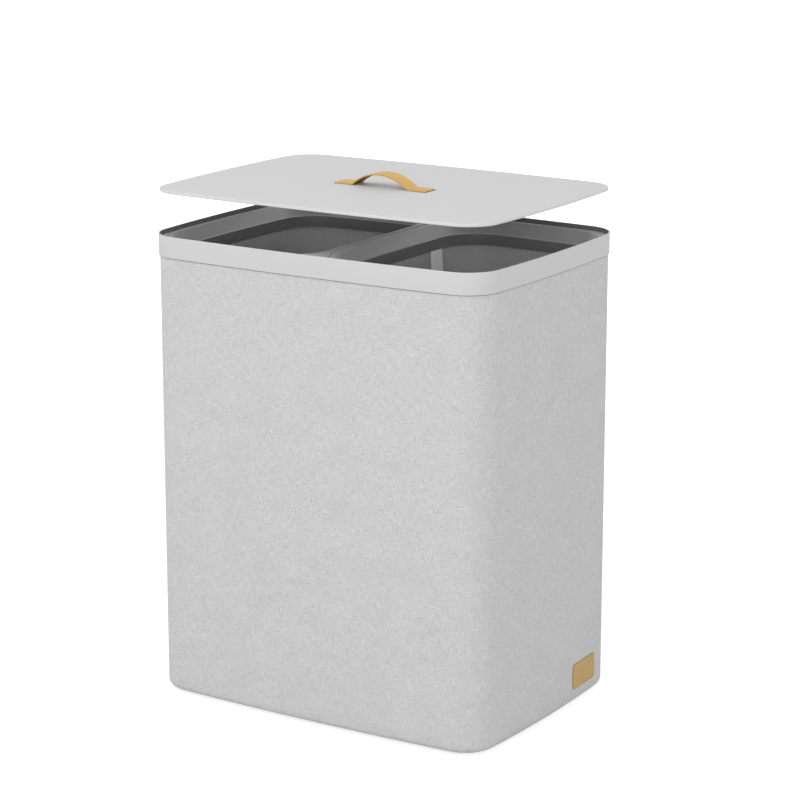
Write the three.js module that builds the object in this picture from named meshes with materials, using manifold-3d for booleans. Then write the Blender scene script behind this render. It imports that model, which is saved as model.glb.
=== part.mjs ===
// Laundry hamper: a fabric-covered body with a plastic rim, two lift-out bins and a loose lid with a leather strap.
// Millimetres, +Z up. The origin is on the floor under the middle of the plan. The front faces -Y.
// The lid hovers above the rim, as it does when it is taken off, and each bin sits in the rim by its lip.

import * as THREE from 'three'
import { mergeVertices } from 'three/addons/utils/BufferGeometryUtils.js'
import Module from 'manifold-3d'

const wasm = await Module()
wasm.setup()

// Plan of the hamper, over the rim
const rimWidth = 500
const rimDepth = 360
const longSideBow = 7.5
const shortSideBow = 8
const cornerRadius = 46
const bodyHeight = 600

// Rim moulding
const rimHeight = 27.2
const rimProud = 1.6
const rimWall = 2
const rimEdgeRadius = 0.7
const ledgeDrop = 6
const ledgeThickness = 5
const skirtWall = 1.3
const skirtHeight = 13
const dividerWidth = 8
const dividerBow = 4
const dividerRibWidth = 4
const dividerRibHeight = 20

// Clearances
const glueGap = 0.2
const seamGap = 0.3
const seatGap = 0.3
const overrun = 1

// Cover and boards
const coverThickness = 0.8
const coverBottomRadius = 10
const coverHem = 25
const wallBoardThickness = 2.4
const baseBoardThickness = 15
const baseRebateHeight = 6

// Glides
const glideHeight = 3.3
const glideRadius = 11
const glideEdgeRadius = 1
const glideNailRadius = 1.3
const glideNailLength = 9
const glideHemGap = 4

// Rivets
const rivetHeadRadius = 4
const rivetHeadHeight = 1.2
const rivetShankRadius = 1.8
const rivetSpread = 250
const rivetDrop = 7

// Leather label
const labelWidth = 62
const labelHeight = 34
const labelThickness = 1.1
const labelCornerRadius = 5
const labelPlaceShare = 0.247
const labelAboveCover = 19

// Bin collars
const lipInset = 4.5
const lipGap = 0.8
const lipThickness = 2.2
const lipBearing = 2
const lipTopWidth = 3.2
const lipEdgeRadius = 0.5
const binCornerRadius = 62
const funnelDrop = 17
const bandInset = 12
const bandStep = 1
const bandHeight = 15
const collarWall = 1.8
const collarKneeDrop = 2

// Bags
const bagThickness = 1.6
const bagTaper = 3
const bagBottomRadius = 8
const bagFloorGap = 3
const bagTopGap = 0.5
const hoopThickness = 1.4
const hoopHeight = 10
const binBaseThickness = 3
const careLabelWidth = 27.5
const careLabelLength = 50
const careLabelThickness = 0.5

// Lid
const lidThickness = 4
const lidGap = 0.7
const lidEdgeRadius = 1.3
const lidHover = 53.3

// Strap handle and its fasteners
const strapLength = 136
const strapWidth = 25
const strapThickness = 1.8
const strapSpan = 85
const strapArch = 15.6
const strapFoldRadius = 6
const platePosition = 57
const plateLength = 15
const plateWidth = 19
const plateThickness = 1.2
const studRadius = 2
const studEndLength = 0.8
const washerRadius = 6
const washerThickness = 1
const nutAcrossFlats = 7
const nutHeight = 3.2

// Fineness of the curves
const longSideSteps = 6
const shortSideSteps = 4
const cornerSteps = 6
const edgeSteps = 3
const filletSteps = 4
const turnSteps = 16

// Heights
const coverBottomZ = glideHeight - coverThickness
const rimTopZ = coverBottomZ + bodyHeight
const rimBottomZ = rimTopZ - rimHeight
const ledgeZ = rimTopZ - ledgeDrop
const ledgeBottomZ = ledgeZ - ledgeThickness
const baseBoardTopZ = glideHeight + baseBoardThickness
const rebateZ = baseBoardTopZ - baseRebateHeight
const shelfZ = ledgeZ - lipThickness
const stepZ = ledgeZ - funnelDrop
const bandBottomZ = stepZ - bandHeight
const bagTopZ = stepZ - collarKneeDrop - bagTopGap
const bagBottomZ = baseBoardTopZ + bagFloorGap
const bagFloorZ = bagBottomZ + bagThickness
const lidRestZ = rimTopZ + lidHover

// Insets from the rim's outline
const coverOuter = rimProud
const coverInner = coverOuter + coverThickness
const boardOuter = coverInner + glueGap
const boardInner = boardOuter + wallBoardThickness
const skirtOuter = boardInner + glueGap
const skirtInner = skirtOuter + skirtWall
const hemInset = coverOuter + coverBottomRadius + coverHem
const lidInset = rimWall + lidGap

// Insets from a bin's own outline
const bandOuter = bandInset - collarWall
const bagInner = bandOuter - seatGap
const bagOuter = bagInner - bagThickness
const hoopInner = bagOuter - seatGap
const hoopOuter = hoopInner - hoopThickness
const bagFootInset = bagOuter + bagTaper + bagBottomRadius

// Finishes: colour, roughness and metalness
const finishes = {
  lid: ['#d3d3d3', 0.55, 0],
  rim: ['#d1d1d1', 0.5, 0],
  cover: ['#cbcbcb', 0.95, 0],
  collar: ['#8a8a8a', 0.55, 0],
  bag: ['#9a9a9a', 0.95, 0],
  ribbon: ['#e6e6e6', 0.8, 0],
  leather: ['#deb060', 0.6, 0],
  board: ['#a39c91', 0.85, 0],
  steel: ['#b8b8b8', 0.35, 1],
  nylon: ['#55575a', 0.5, 0],
}

const quarterTurn = Math.PI / 2
const hamper = new THREE.Group()
const lid = new THREE.Group()
lid.position.z = lidRestZ
const rightBin = new THREE.Group()
const leftBin = new THREE.Group()
leftBin.rotation.z = Math.PI
hamper.add(rightBin, leftBin, lid)

// The radius of an arc that bows out by the given height over a chord.
function bowRadius(chord, bow) {
  return (chord * chord / 4 + bow * bow) / (2 * bow)
}

// One bowed side: its outermost point is at the given distance from the origin, in the given direction.
function bowedSide(direction, distance, radius, steps) {
  const back = distance - radius
  return { x: back * Math.cos(direction), y: back * Math.sin(direction), direction, radius, steps }
}

// The centre of the round corner that touches two neighbouring sides from inside.
function cornerCentre(side, next, radius) {
  const dx = next.x - side.x
  const dy = next.y - side.y
  const apart = Math.hypot(dx, dy)
  const reach = side.radius - radius
  const nextReach = next.radius - radius
  const along = (reach * reach - nextReach * nextReach + apart * apart) / (2 * apart)
  const across = Math.sqrt(reach * reach - along * along)
  return {
    x: side.x + (dx * along - dy * across) / apart,
    y: side.y + (dy * along + dx * across) / apart,
  }
}

// A plan holds four sides, counter-clockwise from +X, and the corner after each of them.
function makePlan(sides, radius) {
  const corners = sides.map((side, i) => cornerCentre(side, sides[(i + 1) % sides.length], radius))
  return { sides, corners, radius }
}

function angleFrom(centre, point) {
  return Math.atan2(point.y - centre.y, point.x - centre.x)
}

// The points of a plan's outline, drawn in by an inset, counter-clockwise.
function outline(plan, inset) {
  const points = []
  const sweep = (centre, radius, from, to, steps) => {
    const turn = THREE.MathUtils.euclideanModulo(to - from, 4 * quarterTurn)
    for (let k = 0; k < steps; k++) {
      const angle = from + turn * k / steps
      points.push(new THREE.Vector2(centre.x + radius * Math.cos(angle), centre.y + radius * Math.sin(angle)))
    }
  }
  plan.sides.forEach((side, i) => {
    const before = plan.corners[(i + plan.sides.length - 1) % plan.sides.length]
    const after = plan.corners[i]
    const next = plan.sides[(i + 1) % plan.sides.length]
    sweep(side, side.radius - inset, angleFrom(side, before), angleFrom(side, after), side.steps)
    sweep(after, plan.radius - inset, angleFrom(side, after), angleFrom(next, after), cornerSteps)
  })
  return points
}

// A point on a side at a distance to the left of its middle, seen from inside, with the outward angle there.
function onSide(side, aside, inset) {
  const angle = side.direction + Math.asin(aside / side.radius)
  const radius = side.radius - inset
  return { x: side.x + radius * Math.cos(angle), y: side.y + radius * Math.sin(angle), angle }
}

// Points of an arc in a profile, as inset and height, where angle 0 points inwards and a quarter turn is up.
function profileArc(inset, z, radius, from, to, steps) {
  return Array.from({ length: steps + 1 }, (_, k) => {
    const angle = from + (to - from) * k / steps
    return [inset + radius * Math.cos(angle), z + radius * Math.sin(angle)]
  })
}

// A skin through one ring of points for each profile point. The profile runs up the outside.
// A closed profile makes a hoop; an open one starts and ends with a flat cap.
function loft(plan, profile, closed) {
  const rings = profile.map(([inset, z]) => outline(plan, inset).map((p) => [p.x, p.y, z]))
  const count = rings[0].length
  const index = []
  const quad = (a, b, c, d) => index.push(a, b, c, a, c, d)
  const last = closed ? rings.length : rings.length - 1
  for (let r = 0; r < last; r++) {
    const low = r * count
    const high = ((r + 1) % rings.length) * count
    for (let i = 0; i < count; i++) {
      const j = (i + 1) % count
      quad(low + i, low + j, high + j, high + i)
    }
  }
  if (!closed) {
    const top = (rings.length - 1) * count
    for (let i = 1; i < count - 1; i++) {
      index.push(0, i + 1, i)
      index.push(top, top + i, top + i + 1)
    }
  }
  const geometry = new THREE.BufferGeometry()
  geometry.setAttribute('position', new THREE.Float32BufferAttribute(rings.flat(2), 3))
  geometry.setIndex(index)
  return geometry
}

// A flat slab between two heights, from an outline with holes.
function slab(points, holes, bottomZ, topZ) {
  const shape = new THREE.Shape(points)
  shape.holes = holes.map((hole) => new THREE.Path(hole))
  return new THREE.ExtrudeGeometry(shape, { depth: topZ - bottomZ, bevelEnabled: false }).translate(0, 0, bottomZ)
}

// A body of revolution about Z from pairs of radius and height.
function turned(pairs, steps = turnSteps) {
  const points = pairs.map(([radius, z]) => new THREE.Vector2(radius, z))
  return new THREE.LatheGeometry(points, steps).rotateX(quarterTurn)
}

function rod(radius, bottomZ, topZ) {
  return turned([[0, bottomZ], [radius, bottomZ], [radius, topZ], [0, topZ]])
}

// A closed geometry as a solid that can be joined and cut.
function solid(geometry) {
  const bare = geometry.clone()
  bare.deleteAttribute('normal')
  bare.deleteAttribute('uv')
  const merged = mergeVertices(bare)
  const mesh = new wasm.Mesh({
    numProp: 3,
    vertProperties: merged.attributes.position.array,
    triVerts: new Uint32Array(merged.index.array),
  })
  return new wasm.Manifold(mesh)
}

function geometryOf(made) {
  const mesh = made.getMesh()
  const geometry = new THREE.BufferGeometry()
  geometry.setAttribute('position', new THREE.BufferAttribute(mesh.vertProperties, mesh.numProp))
  geometry.setIndex(new THREE.BufferAttribute(mesh.triVerts, 1))
  return geometry
}

function piece(group, name, geometry, finish) {
  const [color, roughness, metalness] = finishes[finish]
  const flat = geometry.index ? geometry.toNonIndexed() : geometry
  flat.computeVertexNormals()
  const mesh = new THREE.Mesh(flat, new THREE.MeshStandardMaterial({ color, roughness, metalness }))
  mesh.name = name
  group.add(mesh)
  return mesh
}

// Plans of the hamper and of the right-hand bin, with their sides in the order right, back, left, front.
const longRadius = bowRadius(rimWidth, longSideBow)
const shortRadius = bowRadius(rimDepth, shortSideBow)
const innerRadius = bowRadius(rimDepth, dividerBow)
const rightSide = bowedSide(0, rimWidth / 2, shortRadius, shortSideSteps)
const backSide = bowedSide(quarterTurn, rimDepth / 2, longRadius, longSideSteps)
const leftSide = bowedSide(2 * quarterTurn, rimWidth / 2, shortRadius, shortSideSteps)
const frontSide = bowedSide(-quarterTurn, rimDepth / 2, longRadius, longSideSteps)
const hamperPlan = makePlan([rightSide, backSide, leftSide, frontSide], cornerRadius)

const binLongSteps = longSideSteps / 2
const binSides = [
  bowedSide(0, rimWidth / 2 - lipInset, shortRadius - lipInset, shortSideSteps),
  bowedSide(quarterTurn, rimDepth / 2 - lipInset, longRadius - lipInset, binLongSteps),
  bowedSide(2 * quarterTurn, -dividerWidth / 2, innerRadius, shortSideSteps),
  bowedSide(-quarterTurn, rimDepth / 2 - lipInset, longRadius - lipInset, binLongSteps),
]
const binPlan = makePlan(binSides, binCornerRadius)
const dividerSide = binSides[2]

function bothBins(inset) {
  const right = outline(binPlan, inset)
  const left = right.map((p) => new THREE.Vector2(-p.x, -p.y))
  return [right, left]
}

// Where the push rivets go through the skirt and the wall board.
function rivetPlaces() {
  const spread = rivetSpread / 2
  return {
    rim_rivet_right: onSide(rightSide, 0, skirtInner),
    rim_rivet_left: onSide(leftSide, 0, skirtInner),
    rim_rivet_back_right: onSide(backSide, -spread, skirtInner),
    rim_rivet_back_left: onSide(backSide, spread, skirtInner),
    rim_rivet_front_right: onSide(frontSide, spread, skirtInner),
    rim_rivet_front_left: onSide(frontSide, -spread, skirtInner),
  }
}

function rivetHoles() {
  const length = skirtInner - boardOuter + 2 * overrun
  const holes = Object.values(rivetPlaces()).map((place) => {
    const hole = new THREE.CylinderGeometry(rivetShankRadius + seatGap, rivetShankRadius + seatGap, length, turnSteps)
    hole.translate(0, length / 2 - overrun, 0)
    hole.rotateZ(place.angle - quarterTurn)
    return solid(hole.translate(place.x, place.y, ledgeBottomZ - rivetDrop))
  })
  return holes.reduce((all, hole) => all.add(hole))
}

// The rim: an outer wall, a ledge with the two bins' openings, a skirt inside the wall board and a ribbed divider.
function makeRim() {
  const edge = rimEdgeRadius
  const wall = loft(hamperPlan, [
    [0, rimBottomZ],
    ...profileArc(edge, rimTopZ - edge, edge, 2 * quarterTurn, quarterTurn, edgeSteps),
    ...profileArc(rimWall - edge, rimTopZ - edge, edge, quarterTurn, 0, edgeSteps),
    [rimWall, rimBottomZ],
  ], true)
  const skirt = loft(hamperPlan, [
    [skirtOuter, ledgeBottomZ - skirtHeight],
    [skirtOuter, ledgeBottomZ + overrun],
    [skirtInner, ledgeBottomZ + overrun],
    [skirtInner, ledgeBottomZ - skirtHeight],
  ], true)
  const edgeOfLedge = outline(hamperPlan, rimWall / 2)
  const shelf = slab(edgeOfLedge, bothBins(lipBearing), ledgeBottomZ, shelfZ)
  const webs = slab(edgeOfLedge, bothBins(-lipGap), shelfZ, ledgeZ)
  const ribLength = rimDepth - skirtOuter - skirtInner
  const rib = new THREE.BoxGeometry(dividerRibWidth, ribLength, dividerRibHeight + overrun)
  rib.translate(0, 0, ledgeBottomZ + (overrun - dividerRibHeight) / 2)
  const holes = rivetHoles().subtract(solid(wall))
  return solid(wall).add(solid(shelf)).add(solid(webs)).add(solid(skirt)).add(solid(rib)).subtract(holes)
}

function makeWallBoard() {
  const top = ledgeBottomZ - seamGap
  const tube = loft(hamperPlan, [
    [boardOuter, rebateZ],
    [boardOuter, top],
    [boardInner, top],
    [boardInner, rebateZ],
  ], true)
  return solid(tube).subtract(rivetHoles())
}

// The cover: a sleeve that turns under the base board and ends in a glued hem.
function makeCover() {
  const top = rimBottomZ - seamGap
  const radius = coverBottomRadius
  const centreInset = coverOuter + radius
  const centreZ = coverBottomZ + radius
  return loft(hamperPlan, [
    [hemInset, coverBottomZ],
    ...profileArc(centreInset, centreZ, radius, 3 * quarterTurn, 2 * quarterTurn, filletSteps),
    [coverOuter, top],
    [coverInner, top],
    ...profileArc(centreInset, centreZ, radius - coverThickness, 2 * quarterTurn, 3 * quarterTurn, filletSteps),
    [hemInset, coverBottomZ + coverThickness],
  ], true)
}

// The base board: round below, where the cover turns under, and rebated above for the wall board.
function makeBaseBoard() {
  const radius = Math.min(coverBottomRadius - coverThickness - glueGap, baseBoardThickness - baseRebateHeight)
  const step = boardInner + glueGap
  const board = solid(loft(hamperPlan, [
    ...profileArc(boardOuter + radius, glideHeight + radius, radius, 3 * quarterTurn, 2 * quarterTurn, filletSteps),
    [boardOuter, rebateZ],
    [step, rebateZ],
    [step, baseBoardTopZ],
  ], false))
  const holeTop = glideHeight + glideNailLength + seatGap
  const holes = glidePlaces().map(({ x, y }) => {
    return solid(rod(glideNailRadius + seatGap, glideHeight - overrun, holeTop).translate(x, y, 0))
  })
  return holes.reduce((left, hole) => left.subtract(hole), board)
}

// The glides stand inside the cover's hem, near the corners.
function glidePlaces() {
  const setback = hemInset + glideHemGap + glideRadius
  const x = rimWidth / 2 - shortSideBow - setback
  const y = rimDepth / 2 - longSideBow - setback
  return [
    { name: 'glide_front_left', x: -x, y: -y },
    { name: 'glide_front_right', x, y: -y },
    { name: 'glide_back_left', x: -x, y },
    { name: 'glide_back_right', x, y },
  ]
}

function makeGlide() {
  const edge = glideEdgeRadius
  const round = profileArc(glideRadius - edge, edge, edge, -quarterTurn, 0, edgeSteps)
  return turned([
    [0, 0],
    ...round,
    [glideRadius, glideHeight],
    [glideNailRadius, glideHeight],
    [glideNailRadius, glideHeight + glideNailLength - glideNailRadius],
    [0, glideHeight + glideNailLength],
  ])
}

// A push rivet along +Y: the head is inside the skirt, and the shank ends in the wall board.
function makeRivet() {
  const reach = skirtInner - boardOuter
  const points = [
    [0, -rivetHeadHeight - glueGap],
    [rivetHeadRadius / 2, -rivetHeadHeight - glueGap],
    [rivetHeadRadius, -glueGap],
    [rivetShankRadius, -glueGap],
    [rivetShankRadius, reach],
    [0, reach],
  ]
  return new THREE.LatheGeometry(points.map(([radius, y]) => new THREE.Vector2(radius, y)), turnSteps)
}

// The label: a plate with round corners, laid on the right side of the cover.
function makeLabel() {
  const corner = labelCornerRadius
  const halfWidth = labelWidth / 2
  const face = new THREE.Shape()
  face.moveTo(corner - halfWidth, 0)
  face.lineTo(halfWidth - corner, 0)
  face.absarc(halfWidth - corner, corner, corner, -quarterTurn, 0)
  face.absarc(halfWidth - corner, labelHeight - corner, corner, 0, quarterTurn)
  face.absarc(corner - halfWidth, labelHeight - corner, corner, quarterTurn, 2 * quarterTurn)
  face.absarc(corner - halfWidth, corner, corner, 2 * quarterTurn, 3 * quarterTurn)
  const options = { depth: labelThickness, bevelEnabled: false, curveSegments: edgeSteps }
  return new THREE.ExtrudeGeometry(face, options).rotateX(quarterTurn).rotateZ(quarterTurn)
}

function placeLabel() {
  const place = onSide(rightSide, rimDepth * labelPlaceShare, coverOuter - glueGap)
  const mesh = piece(hamper, 'leather_label', makeLabel(), 'leather')
  mesh.position.set(place.x, place.y, coverBottomZ + labelAboveCover)
  mesh.rotation.z = place.angle
}

// A bin's collar: a lip on the rim's shelf, a sloping upper wall, a small step and an upright band.
function makeCollar() {
  const edge = lipEdgeRadius
  return loft(binPlan, [
    [0, shelfZ],
    ...profileArc(edge, ledgeZ - edge, edge, 2 * quarterTurn, quarterTurn, 1),
    [lipTopWidth, ledgeZ],
    [bandInset - bandStep, stepZ],
    [bandInset, stepZ],
    [bandInset, bandBottomZ],
    [bandOuter, bandBottomZ],
    [bandOuter, stepZ - collarKneeDrop],
    [lipBearing + seatGap, shelfZ],
  ], true)
}

// A bag's wall: a tapering sleeve whose foot turns in to meet the bottom panel.
function makeBag() {
  const radius = bagBottomRadius
  const centreInset = bagFootInset
  const centreZ = bagBottomZ + radius
  const innerRound = radius - bagThickness
  return loft(binPlan, [
    ...profileArc(centreInset, centreZ, radius, 3 * quarterTurn, 2 * quarterTurn, edgeSteps),
    [bagOuter, bagTopZ],
    [bagInner, bagTopZ],
    ...profileArc(centreInset, centreZ, innerRound, 2 * quarterTurn, 3 * quarterTurn, edgeSteps),
  ], true)
}

// A bag's bottom panel, sewn in where the foot of the wall ends.
function makeBagFloor() {
  const inset = bagFootInset + seamGap
  return loft(binPlan, [
    [inset, bagBottomZ],
    [inset, bagFloorZ],
  ], false)
}

function makeHoop() {
  const top = bagTopZ - bagTopGap
  return loft(binPlan, [
    [hoopOuter, top - hoopHeight],
    [hoopOuter, top],
    [hoopInner, top],
    [hoopInner, top - hoopHeight],
  ], true)
}

function makeBinBase() {
  return loft(binPlan, [
    [bagFootInset, bagFloorZ],
    [bagFootInset, bagFloorZ + binBaseThickness],
  ], false)
}

// The ribbon tab hangs inside the bag from under the band, on the divider's side, just before the front corner.
function placeCareLabel(group, name) {
  const top = bandBottomZ - seatGap
  const taper = bagTaper * careLabelLength / (bagTopZ - bagBottomZ)
  const inset = bagInner + taper + seatGap + careLabelThickness / 2
  const aside = rimDepth / 2 - lipInset - binCornerRadius - careLabelWidth / 2
  const place = onSide(dividerSide, -aside, inset)
  const tab = new THREE.BoxGeometry(careLabelThickness, careLabelWidth, careLabelLength)
  const mesh = piece(group, name, tab, 'ribbon')
  mesh.position.set(place.x, place.y, top - careLabelLength / 2)
  mesh.rotation.z = place.angle
}

function fillBin(group, side) {
  piece(group, `${side}_bin_collar`, makeCollar(), 'collar')
  piece(group, `${side}_bin_bag`, makeBag(), 'bag')
  piece(group, `${side}_bin_bag_floor`, makeBagFloor(), 'bag')
  piece(group, `${side}_bin_hoop`, makeHoop(), 'steel')
  piece(group, `${side}_bin_base`, makeBinBase(), 'board')
  placeCareLabel(group, `${side}_bin_care_label`)
}

// The lid's parts have their heights above the lid's underside.
function makeLidPanel() {
  const edge = lidEdgeRadius
  const panel = solid(loft(hamperPlan, [
    ...profileArc(lidInset + edge, edge, edge, 3 * quarterTurn, 2 * quarterTurn, edgeSteps),
    ...profileArc(lidInset + edge, lidThickness - edge, edge, 2 * quarterTurn, quarterTurn, edgeSteps),
  ], false))
  const cuts = [-platePosition, platePosition].flatMap((x) => {
    const pocketDepth = plateThickness + overrun
    const pocket = new THREE.BoxGeometry(plateLength + 2 * seatGap, plateWidth + 2 * seatGap, pocketDepth)
    pocket.translate(x, 0, lidThickness - plateThickness + pocketDepth / 2)
    const hole = rod(studRadius + seatGap, -overrun, lidThickness).translate(x, 0, 0)
    return [solid(pocket), solid(hole)]
  })
  return cuts.reduce((left, cut) => left.subtract(cut), panel)
}

// The strap from the side: flat ends, a fold at each end of the arch and one arc between the folds.
function makeStrap() {
  const span = strapSpan / 2
  const end = strapLength / 2
  const radii = (span * span / strapArch + strapArch) / 2
  const archRadius = radii - strapFoldRadius
  const archZ = strapArch - archRadius
  const lean = Math.asin(span / radii)
  const down = 3 * quarterTurn
  const up = quarterTurn
  const side = new THREE.Shape()
  side.moveTo(-end, 0)
  side.lineTo(-span, 0)
  side.absarc(-span, strapFoldRadius, strapFoldRadius, down, down + lean, false)
  side.absarc(0, archZ, archRadius, up + lean, up - lean, true)
  side.absarc(span, strapFoldRadius, strapFoldRadius, down - lean, down, false)
  side.lineTo(end, 0)
  side.lineTo(end, strapThickness)
  side.absarc(span, strapFoldRadius, strapFoldRadius - strapThickness, down, down - lean, true)
  side.absarc(0, archZ, archRadius + strapThickness, up - lean, up + lean, false)
  side.absarc(-span, strapFoldRadius, strapFoldRadius - strapThickness, down + lean, down, true)
  side.lineTo(-end, strapThickness)
  const options = { depth: strapWidth, bevelEnabled: false, curveSegments: cornerSteps }
  return new THREE.ExtrudeGeometry(side, options).rotateX(quarterTurn).translate(0, strapWidth / 2, lidThickness)
}

function makeStudPlate(x) {
  const plate = new THREE.BoxGeometry(plateLength, plateWidth, plateThickness)
  plate.translate(x, 0, lidThickness - plateThickness / 2)
  const studBottom = -washerThickness - nutHeight - studEndLength
  const stud = rod(studRadius, studBottom, lidThickness - plateThickness / 2).translate(x, 0, 0)
  return solid(plate).add(solid(stud))
}

function makeWasher(x) {
  const hole = studRadius + seatGap
  const ring = [[hole, -washerThickness], [washerRadius, -washerThickness], [washerRadius, 0], [hole, 0]]
  return turned([...ring, ring[0]]).translate(x, 0, 0)
}

function makeNut(x) {
  const cornerReach = nutAcrossFlats / Math.sqrt(3)
  const corners = Array.from({ length: 6 }, (_, k) => {
    const angle = k * Math.PI / 3
    return new THREE.Vector2(cornerReach * Math.cos(angle), cornerReach * Math.sin(angle))
  })
  const bore = new THREE.Path().absarc(0, 0, studRadius + seatGap, 0, 4 * quarterTurn, true)
  const top = -washerThickness
  return slab(corners, [bore.getPoints(turnSteps).slice(0, -1)], top - nutHeight, top).translate(x, 0, 0)
}

function fillLid() {
  piece(lid, 'lid_panel', geometryOf(makeLidPanel()), 'lid')
  piece(lid, 'lid_strap', makeStrap(), 'leather')
  const ends = { left: -platePosition, right: platePosition }
  for (const [end, x] of Object.entries(ends)) {
    piece(lid, `strap_plate_${end}`, geometryOf(makeStudPlate(x)), 'steel')
    piece(lid, `strap_washer_${end}`, makeWasher(x), 'steel')
    piece(lid, `strap_nut_${end}`, makeNut(x), 'steel')
  }
}

function fillBody() {
  piece(hamper, 'top_rim', geometryOf(makeRim()), 'rim')
  piece(hamper, 'fabric_cover', makeCover(), 'cover')
  piece(hamper, 'wall_board', geometryOf(makeWallBoard()), 'board')
  piece(hamper, 'base_board', geometryOf(makeBaseBoard()), 'board')
  placeLabel()
  for (const [name, place] of Object.entries(rivetPlaces())) {
    const mesh = piece(hamper, name, makeRivet(), 'nylon')
    mesh.position.set(place.x, place.y, ledgeBottomZ - rivetDrop)
    mesh.rotation.z = place.angle - quarterTurn
  }
  for (const { name, x, y } of glidePlaces()) {
    piece(hamper, name, makeGlide(), 'nylon').position.set(x, y, 0)
  }
}

fillBody()
fillBin(rightBin, 'right')
fillBin(leftBin, 'left')
fillLid()

export default hamper
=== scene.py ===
"""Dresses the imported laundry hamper.

It has a plastic rim and lid, a linen-look cover, two lift-out bins, a leather strap and a leather label.
Everything is in metres, with the floor at z = 0 and the front towards -Y.
"""

import math
from contextlib import contextmanager

import bmesh
import bpy
import numpy as np
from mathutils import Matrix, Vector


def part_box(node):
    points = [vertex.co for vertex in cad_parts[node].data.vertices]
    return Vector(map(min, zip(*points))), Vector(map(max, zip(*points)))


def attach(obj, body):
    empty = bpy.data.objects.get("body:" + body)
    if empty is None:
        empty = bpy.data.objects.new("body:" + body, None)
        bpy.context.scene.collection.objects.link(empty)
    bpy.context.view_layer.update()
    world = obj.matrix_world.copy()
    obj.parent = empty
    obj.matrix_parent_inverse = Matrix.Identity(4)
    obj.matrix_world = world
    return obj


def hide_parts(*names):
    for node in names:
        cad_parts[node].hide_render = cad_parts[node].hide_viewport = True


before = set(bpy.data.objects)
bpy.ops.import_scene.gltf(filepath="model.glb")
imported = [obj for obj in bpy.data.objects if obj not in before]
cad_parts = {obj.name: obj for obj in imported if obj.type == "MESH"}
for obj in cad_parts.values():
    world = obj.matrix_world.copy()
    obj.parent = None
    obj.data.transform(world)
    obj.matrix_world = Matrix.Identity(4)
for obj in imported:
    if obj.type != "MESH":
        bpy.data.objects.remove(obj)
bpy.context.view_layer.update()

# Plan of the hamper
side_bow = 0.008
front_bow = 0.0075
divider_bow = 0.004
divider_width = 0.008
corner_round = 0.046
bin_corner_round = 0.062

# Rim moulding
rim_height = 0.0272
rim_wall = 0.002
rim_edge = 0.0007
rim_foot_edge = 0.0003
ledge_thickness = 0.005
skirt_wall = 0.0013
skirt_height = 0.013
skirt_inset = 0.0052
rib_width = 0.004
rib_height = 0.02

# Cover and boards
cloth_thickness = 0.0008
cloth_cut_share = 0.45
rim_proud = 0.0016
cover_round = 0.010
cover_hem = 0.025
shadow_gap = 0.0006
board_inset = 0.0026
board_thickness = 0.0024
board_edge_share = 0.2

# Back seam of the cover
seam_width = 0.012
seam_thickness = 0.0007
seam_edge_share = 0.6
stitch_pitch = 0.004
stitch_length = 0.0029
stitch_radius = 0.0003

# Glides: a round nylon foot with its nail
glide_height = 0.0033
glide_pole = 0.0005
glide_sole_round = 0.0011
glide_top_round = 0.0003
nail_radius = 0.0013
nail_taper = 0.0012
nail_round = 0.0002
nail_point = 0.0002

# Push rivets through the skirt and the board
rivet_spread = 0.125
rivet_head = 0.004
rivet_head_height = 0.0012
rivet_dome_share = 0.45
rivet_dome_round = 0.0012
rivet_rim_round = 0.0002
rivet_gap = 0.0002
rivet_shank = 0.0018
rivet_end_round = 0.0003
rivet_pole = 0.0003

# Leather label
label_width = 0.062
label_thickness = 0.0010
label_round = 0.005
label_edge = 0.0006
label_sunk = 0.0001
label_pressed = 0.0016
label_flat = 0.004
label_crown_share = 1.08
burnish_width = 0.0011
burnish_share = 0.9

# Bin collars
lip_inset = 0.0045
lip_gap = 0.0012
lip_thickness = 0.0022
lip_bearing = 0.002
lip_top = 0.0032
lip_edge = 0.0005
lip_root = 0.0003
funnel_drop = 0.017
funnel_round = 0.0008
band_inset = 0.012
band_step = 0.0016
band_foot_round = 0.0005
step_edge = 0.0007
step_upper_share = 0.6
collar_wall = 0.0018
collar_knee = 0.002
collar_knee_round = 0.001

# Bags
bag_cloth = 0.0011
bag_inset = 0.0091
bag_taper = 0.003
bag_round = 0.008
floor_reach = 0.045
hem_inset = 0.0057
hem_height = 0.0135
fold_round = 0.0012
hem_round = 0.001
seam_inset = 0.0071
seam_round = 0.0006
seam_rise = 0.0008
seam_spread = 0.0026
hem_stitch_pitch = 0.0038
hem_stitch_share = 0.7
hem_stitch_radius = 0.00028
hem_stitch_sunk = 0.00005
binding_radius = 0.0012
binding_share = 0.3

# Folds of the bags' walls
fold_waves = 14
fold_lean = 26
ripple_depth = 0.0014
crease_depth = 0.0013
crease_share = 0.13
waist_depth = 0.0045
taut_below_hem = 0.016
taut_to_slack = 0.05
taut_above_floor = 0.03
wall_tolerance = 0.0002
floor_tolerance = 0.0005

# Hoops and base panels of the bins
hoop_inset = 0.0066
hoop_thickness = 0.0014
hoop_edge_share = 0.3
panel_lift = 0.0003
panel_low_edge = 0.0006
panel_high_edge = 0.0008

# Ribbon tabs in the bins
ribbon_width = 0.0275
ribbon_thickness = 0.0005
ribbon_edge_share = 0.4
ribbon_gap = 0.0019
ribbon_lean = 0.0011
ribbon_curl = 0.0050
ribbon_cup = 0.0009
ribbon_drift = 0.0012

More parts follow.
